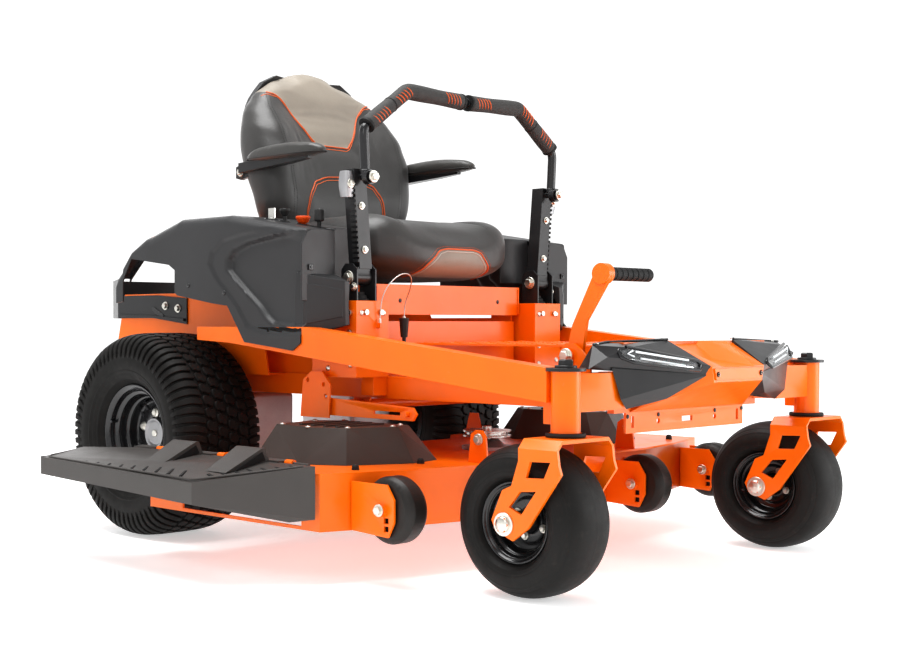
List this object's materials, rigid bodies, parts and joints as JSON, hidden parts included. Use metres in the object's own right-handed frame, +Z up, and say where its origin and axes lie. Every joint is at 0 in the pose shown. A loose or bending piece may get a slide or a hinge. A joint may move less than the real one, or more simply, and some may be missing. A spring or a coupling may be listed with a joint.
{
  "type": "zero turn mower",
  "caption": "Ride-on zero-turn mower with lever steering, caster front wheels, a wide belt-driven cutting deck with side discharge, and a padded seat with armrests.",
  "frame": {"origin": "bottom centre of the machine's bounding box, on the ground", "axes": "+X to the operator's left, -Y forwards, +Z up"},
  "size_m": [1.742, 2.073, 1.336],
  "materials": {
    "orange_paint": "gloss powder coat",
    "black_paint": "satin",
    "dark_plastic": "matt, lightly grained",
    "lens": "clear",
    "bright_steel": "zinc plated",
    "cast_metal": "as cast",
    "tyre_rubber": "matt",
    "roller_plastic": "semi-gloss",
    "foam_rubber": "matt",
    "seat_vinyl": "soft grain",
    "orange_plastic": "gloss"
  },
  "bodies": {
    "chassis": {"main_frame": "orange_paint", "side_rails": "orange_paint", "front_beam": "orange_paint", "caster_caps": "black_paint", "foot_deck": "orange_paint", "front_fairing_right": "dark_plastic", "front_fairing_left": "dark_plastic", "headlights": "lens", "towers": "orange_paint", "lever_brackets": "black_paint", "side_fairing_right": "dark_plastic", "side_fairing_left": "dark_plastic", "rear_hood": "orange_paint", "rear_bumper": "black_paint", "engine_block": "cast_metal", "blower_shroud": "dark_plastic", "muffler": "black_paint", "transaxles": "cast_metal", "frame_bolts": "bright_steel", "pin_lanyard": "bright_steel"},
    "seat": {"seat_pan": "orange_paint", "seat_cushion": "seat_vinyl", "seat_back": "seat_vinyl"},
    "pedal": {"lift_pedal": "orange_paint", "foot_peg": "foam_rubber"},
    "rock_shaft": {"lift_shaft": "orange_paint"},
    "deck": {"deck_shell": "orange_paint", "spindle_housings": "cast_metal", "belt_covers": "dark_plastic"},
    "chute": {"chute": "dark_plastic"},
    "throttle": {"throttle_lever": "roller_plastic"},
    "choke": {"choke_knob": "roller_plastic"},
    "clutch": {"clutch_knob": "orange_plastic"},
    "key": {"ignition_key": "bright_steel"},
    "selector_pin": {"height_pin": "roller_plastic"},
    "caster_right": {"caster_fork_right": "orange_paint"},
    "front_wheel_right": {"front_tyre_right": "tyre_rubber", "front_rim_right": "black_paint"},
    "rear_wheel_right": {"rear_tyre_right": "tyre_rubber", "rear_rim_right": "black_paint"},
    "lever_right": {"lever_base_right": "black_paint"},
    "handle_right": {"lever_arm_right": "black_paint", "lever_grip_right": "foam_rubber"},
    "armrest_right": {"armrest_right": "dark_plastic"},
    "caster_left": {"caster_fork_left": "orange_paint"},
    "front_wheel_left": {"front_tyre_left": "tyre_rubber", "front_rim_left": "black_paint"},
    "rear_wheel_left": {"rear_tyre_left": "tyre_rubber", "rear_rim_left": "black_paint"},
    "lever_left": {"lever_base_left": "black_paint"},
    "handle_left": {"lever_arm_left": "black_paint", "lever_grip_left": "foam_rubber"},
    "armrest_left": {"armrest_left": "dark_plastic"},
    "spindle_right": {"blade_right": "black_paint"},
    "spindle_middle": {"blade_middle": "black_paint"},
    "spindle_left": {"blade_left": "black_paint"},
    "roller_outer_right": {"roller_outer_right": "roller_plastic"},
    "roller_outer_left": {"roller_outer_left": "roller_plastic"},
    "roller_inner_right": {"roller_inner_right": "roller_plastic"},
    "roller_inner_left": {"roller_inner_left": "roller_plastic"}
  },
  "joints": [
    {"name": "caster_swivel_right", "type": "hinge", "parent": "chassis", "child": "caster_right", "pos_m": [-0.401, -0.9345, 0.42], "axis": [0, 0, 1], "continuous": true},
    {"name": "front_wheel_spin_right", "type": "hinge", "parent": "caster_right", "child": "front_wheel_right", "pos_m": [-0.401, -0.8515, 0.165], "axis": [1, 0, 0], "continuous": true},
    {"name": "rear_wheel_spin_right", "type": "hinge", "parent": "chassis", "child": "rear_wheel_right", "pos_m": [-0.401, 0.4335, 0.279], "axis": [1, 0, 0], "continuous": true},
    {"name": "lever_drive_right", "type": "hinge", "parent": "chassis", "child": "lever_right", "pos_m": [-0.257, -0.1845, 0.7], "axis": [1, 0, 0], "range_deg": [-12, 22]},
    {"name": "lever_swing_right", "type": "hinge", "parent": "lever_right", "child": "handle_right", "pos_m": [-0.27, -0.2195, 0.95], "axis": [0, -1, 0], "range_deg": [0, 50]},
    {"name": "armrest_fold_right", "type": "hinge", "parent": "seat", "child": "armrest_right", "pos_m": [-0.17, 0.3585, 1.015], "axis": [1, 0, 0], "range_deg": [-85, 0]},
    {"name": "caster_swivel_left", "type": "hinge", "parent": "chassis", "child": "caster_left", "pos_m": [0.619, -0.9345, 0.42], "axis": [0, 0, 1], "continuous": true},
    {"name": "front_wheel_spin_left", "type": "hinge", "parent": "caster_left", "child": "front_wheel_left", "pos_m": [0.619, -0.8515, 0.165], "axis": [1, 0, 0], "continuous": true},
    {"name": "rear_wheel_spin_left", "type": "hinge", "parent": "chassis", "child": "rear_wheel_left", "pos_m": [0.619, 0.4335, 0.279], "axis": [1, 0, 0], "continuous": true},
    {"name": "lever_drive_left", "type": "hinge", "parent": "chassis", "child": "lever_left", "pos_m": [0.475, -0.1845, 0.7], "axis": [1, 0, 0], "range_deg": [-12, 22]},
    {"name": "lever_swing_left", "type": "hinge", "parent": "lever_left", "child": "handle_left", "pos_m": [0.488, -0.2195, 0.95], "axis": [0, 1, 0], "range_deg": [0, 50]},
    {"name": "armrest_fold_left", "type": "hinge", "parent": "seat", "child": "armrest_left", "pos_m": [0.388, 0.3585, 1.015], "axis": [1, 0, 0], "range_deg": [-85, 0]},
    {"name": "seat_tilt", "type": "hinge", "parent": "chassis", "child": "seat", "pos_m": [0.109, -0.1465, 0.63], "axis": [1, 0, 0], "range_deg": [0, 18]},
    {"name": "lift_pedal_pivot", "type": "hinge", "parent": "chassis", "child": "pedal", "pos_m": [-0.236, -0.8345, 0.512], "axis": [1, 0, 0], "range_deg": [-35, 0]},
    {"name": "rock_shaft_turn", "type": "hinge", "parent": "chassis", "child": "rock_shaft", "pos_m": [0.109, -0.1035, 0.372], "axis": [1, 0, 0], "range_deg": [0, 16]},
    {"name": "deck_lift", "type": "slide", "parent": "chassis", "child": "deck", "axis": [0, 0, 1], "range_m": [-0.085, 0]},
    {"name": "chute_fold", "type": "hinge", "parent": "deck", "child": "chute", "pos_m": [-0.648, -0.1265, 0.266], "axis": [0, 1, 0], "range_deg": [0, 85]},
    {"name": "throttle_turn", "type": "hinge", "parent": "chassis", "child": "throttle", "pos_m": [-0.331, -0.1165, 0.8], "axis": [1, 0, 0], "range_deg": [-20, 20]},
    {"name": "choke_pull", "type": "slide", "parent": "chassis", "child": "choke", "axis": [0, 0, 1], "range_m": [0, 0.03]},
    {"name": "clutch_pull", "type": "slide", "parent": "chassis", "child": "clutch", "axis": [0, 0, 1], "range_m": [0, 0.012]},
    {"name": "key_turn", "type": "hinge", "parent": "chassis", "child": "key", "pos_m": [-0.331, 0.0635, 0.85], "axis": [0, 0, 1], "range_deg": [0, 60]},
    {"name": "selector_pin_lift", "type": "slide", "parent": "chassis", "child": "selector_pin", "axis": [0, 0, 1], "range_m": [0, 0.03], "deforming": ["pin_lanyard"]},
    {"name": "spindle_spin_right", "type": "hinge", "parent": "deck", "child": "spindle_right", "pos_m": [-0.391, -0.1865, 0.23], "axis": [0, 0, 1], "continuous": true},
    {"name": "spindle_spin_middle", "type": "hinge", "parent": "deck", "child": "spindle_middle", "pos_m": [0.109, -0.3015, 0.23], "axis": [0, 0, 1], "continuous": true},
    {"name": "spindle_spin_left", "type": "hinge", "parent": "deck", "child": "spindle_left", "pos_m": [0.609, -0.1865, 0.23], "axis": [0, 0, 1], "continuous": true},
    {"name": "roller_spin_outer_right", "type": "hinge", "parent": "deck", "child": "roller_outer_right", "pos_m": [-0.541, -0.5815, 0.173], "axis": [1, 0, 0], "continuous": true},
    {"name": "roller_spin_outer_left", "type": "hinge", "parent": "deck", "child": "roller_outer_left", "pos_m": [0.759, -0.5815, 0.173], "axis": [1, 0, 0], "continuous": true},
    {"name": "roller_spin_inner_right", "type": "hinge", "parent": "deck", "child": "roller_inner_right", "pos_m": [-0.091, -0.6515, 0.173], "axis": [1, 0, 0], "continuous": true},
    {"name": "roller_spin_inner_left", "type": "hinge", "parent": "deck", "child": "roller_inner_left", "pos_m": [0.309, -0.6515, 0.173], "axis": [1, 0, 0], "continuous": true}
  ],
  "couplings": [
    {"joint": "deck_lift", "follows": "lift_pedal_pivot", "m_per_rad": 0.139},
    {"joint": "rock_shaft_turn", "follows": "lift_pedal_pivot", "ratio": -0.457},
    {"joint": "spindle_spin_right", "follows": "spindle_spin_middle", "ratio": 1},
    {"joint": "spindle_spin_left", "follows": "spindle_spin_middle", "ratio": 1}
  ]
}
